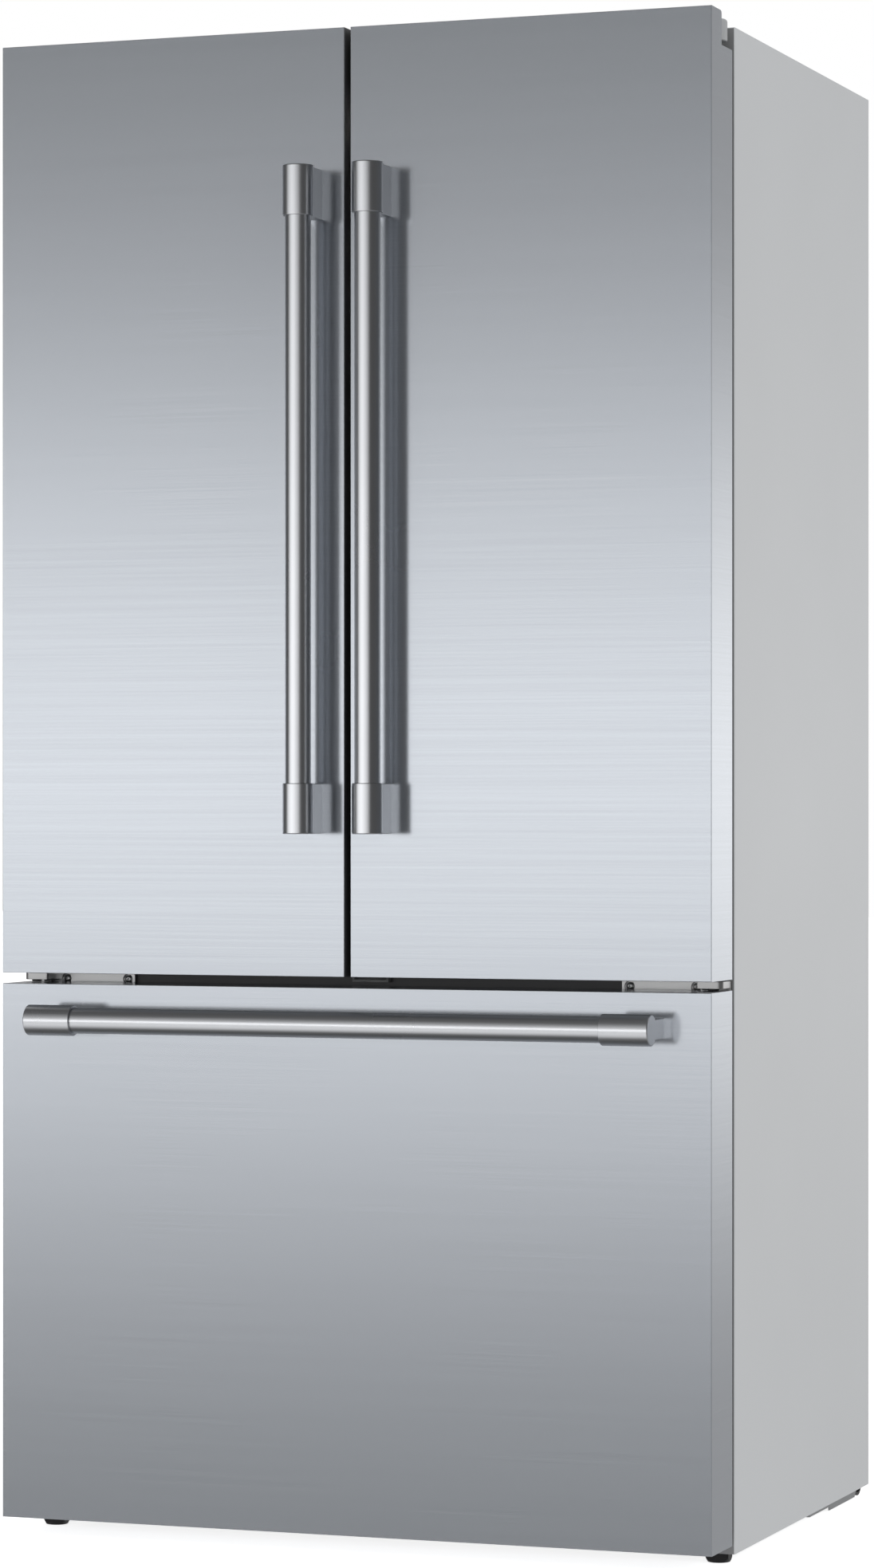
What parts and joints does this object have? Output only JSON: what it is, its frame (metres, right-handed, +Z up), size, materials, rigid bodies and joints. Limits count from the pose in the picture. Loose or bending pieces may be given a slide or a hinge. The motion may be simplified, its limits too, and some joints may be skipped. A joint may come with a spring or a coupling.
{
  "type": "french door refrigerator",
  "caption": "Freestanding refrigerator with two side-hinged upper doors, a pull-out freezer drawer, brushed steel fronts and tubular bar handles.",
  "frame": {"origin": "centre of the bounding box's footprint, on the floor under the feet", "axes": "+Z up; -Y out of the doors towards the user; +X to the right when facing the doors"},
  "size_m": [0.905, 0.7754, 1.822],
  "materials": {
    "brushed_stainless": "satin",
    "handle_steel": "satin",
    "cabinet_paint": "satin",
    "galvanized_steel": "satin",
    "hinge_zinc": "satin",
    "grey_plastic": "satin",
    "insulating_foam": "matte",
    "white_liner": "satin",
    "gasket_rubber": "matte",
    "clear_plastic": "gloss",
    "shelf_glass": "polished",
    "black_plastic": "satin",
    "black_enamel": "satin",
    "coil_aluminium": "satin",
    "light_lens": "satin"
  },
  "bodies": {
    "cabinet": {"cabinet_shell": "cabinet_paint", "back_panel": "galvanized_steel", "machine_cover": "galvanized_steel", "cabinet_foam": "insulating_foam", "fridge_liner": "white_liner", "freezer_liner": "white_liner", "center_rail": "cabinet_paint", "mullion_guide": "grey_plastic", "base_frame": "galvanized_steel", "roller_brackets": "galvanized_steel", "top_hinges": "galvanized_steel", "hinge_covers": "grey_plastic", "mid_hinges": "hinge_zinc", "compressor": "black_enamel", "condenser": "coil_aluminium", "fan_motor": "coil_aluminium", "power_inlet": "black_plastic", "shelf_tracks": "galvanized_steel", "upper_shelves": "shelf_glass", "lower_shelves": "shelf_glass", "crisper_cover": "shelf_glass", "air_duct": "white_liner", "ceiling_light": "light_lens", "evaporator": "coil_aluminium", "evaporator_cover": "white_liner", "slide_outer": "galvanized_steel"},
    "left_door": {"left_door_skin": "brushed_stainless", "left_door_foam": "insulating_foam", "left_door_liner": "white_liner", "left_gasket": "gasket_rubber", "left_bushings": "white_liner", "left_handle_bar": "handle_steel", "left_handle_ends": "handle_steel", "left_bins": "clear_plastic"},
    "right_door": {"right_door_skin": "brushed_stainless", "right_door_foam": "insulating_foam", "right_door_liner": "white_liner", "right_gasket": "gasket_rubber", "right_bushings": "white_liner", "right_handle_bar": "handle_steel", "right_handle_ends": "handle_steel", "right_bins": "clear_plastic"},
    "mullion_flap": {"mullion_flap": "grey_plastic"},
    "freezer_drawer": {"drawer_skin": "brushed_stainless", "drawer_foam": "insulating_foam", "drawer_liner": "white_liner", "drawer_gasket": "gasket_rubber", "drawer_handle_bar": "handle_steel", "drawer_handle_ends": "handle_steel", "drawer_basket": "clear_plastic", "slide_inner": "galvanized_steel"},
    "slide_middle": {"slide_middle": "galvanized_steel"},
    "freezer_tray": {"freezer_tray": "clear_plastic"},
    "crisper_left": {"crisper_left": "clear_plastic"},
    "crisper_right": {"crisper_right": "clear_plastic"},
    "roller_left": {"roller_left": "black_plastic"},
    "roller_right": {"roller_right": "black_plastic"},
    "foot_left": {"foot_left": "black_plastic"},
    "foot_right": {"foot_right": "black_plastic"},
    "condenser_fan": {"condenser_fan": "black_plastic"}
  },
  "joints": [
    {"name": "left_door_hinge", "type": "hinge", "parent": "cabinet", "child": "left_door", "pos_m": [-0.436, -0.25725, 1.2], "axis": [0, 0, -1], "range_deg": [0, 120]},
    {"name": "right_door_hinge", "type": "hinge", "parent": "cabinet", "child": "right_door", "pos_m": [0.436, -0.25725, 1.2], "axis": [0, 0, 1], "range_deg": [0, 120]},
    {"name": "flap_hinge", "type": "hinge", "parent": "left_door", "child": "mullion_flap", "pos_m": [-0.015, -0.21825, 1.2], "axis": [0, 0, -1], "range_deg": [0, 90]},
    {"name": "drawer_slide", "type": "slide", "parent": "cabinet", "child": "freezer_drawer", "axis": [0, -1, 0], "range_m": [0, 0.45]},
    {"name": "slide_middle_travel", "type": "slide", "parent": "cabinet", "child": "slide_middle", "axis": [0, -1, 0], "range_m": [0, 0.225]},
    {"name": "tray_slide", "type": "slide", "parent": "freezer_drawer", "child": "freezer_tray", "axis": [0, 1, 0], "range_m": [0, 0.08]},
    {"name": "crisper_left_slide", "type": "slide", "parent": "cabinet", "child": "crisper_left", "axis": [0, -1, 0], "range_m": [0, 0.065]},
    {"name": "crisper_right_slide", "type": "slide", "parent": "cabinet", "child": "crisper_right", "axis": [0, -1, 0], "range_m": [0, 0.065]},
    {"name": "roller_left_spin", "type": "hinge", "parent": "cabinet", "child": "roller_left", "pos_m": [-0.436, 0.35875, 0.019], "axis": [1, 0, 0], "continuous": true},
    {"name": "roller_right_spin", "type": "hinge", "parent": "cabinet", "child": "roller_right", "pos_m": [0.436, 0.35875, 0.019], "axis": [1, 0, 0], "continuous": true},
    {"name": "foot_left_turn", "type": "hinge", "parent": "cabinet", "child": "foot_left", "pos_m": [-0.429, -0.21275, 0.005], "axis": [0, 0, 1], "continuous": true},
    {"name": "foot_right_turn", "type": "hinge", "parent": "cabinet", "child": "foot_right", "pos_m": [0.429, -0.21275, 0.005], "axis": [0, 0, 1], "continuous": true},
    {"name": "fan_spin", "type": "hinge", "parent": "cabinet", "child": "condenser_fan", "pos_m": [-0.06, 0.27875, 0.15], "axis": [1, 0, 0], "continuous": true}
  ],
  "couplings": [
    {"joint": "slide_middle_travel", "follows": "drawer_slide", "ratio": 0.5}
  ]
}
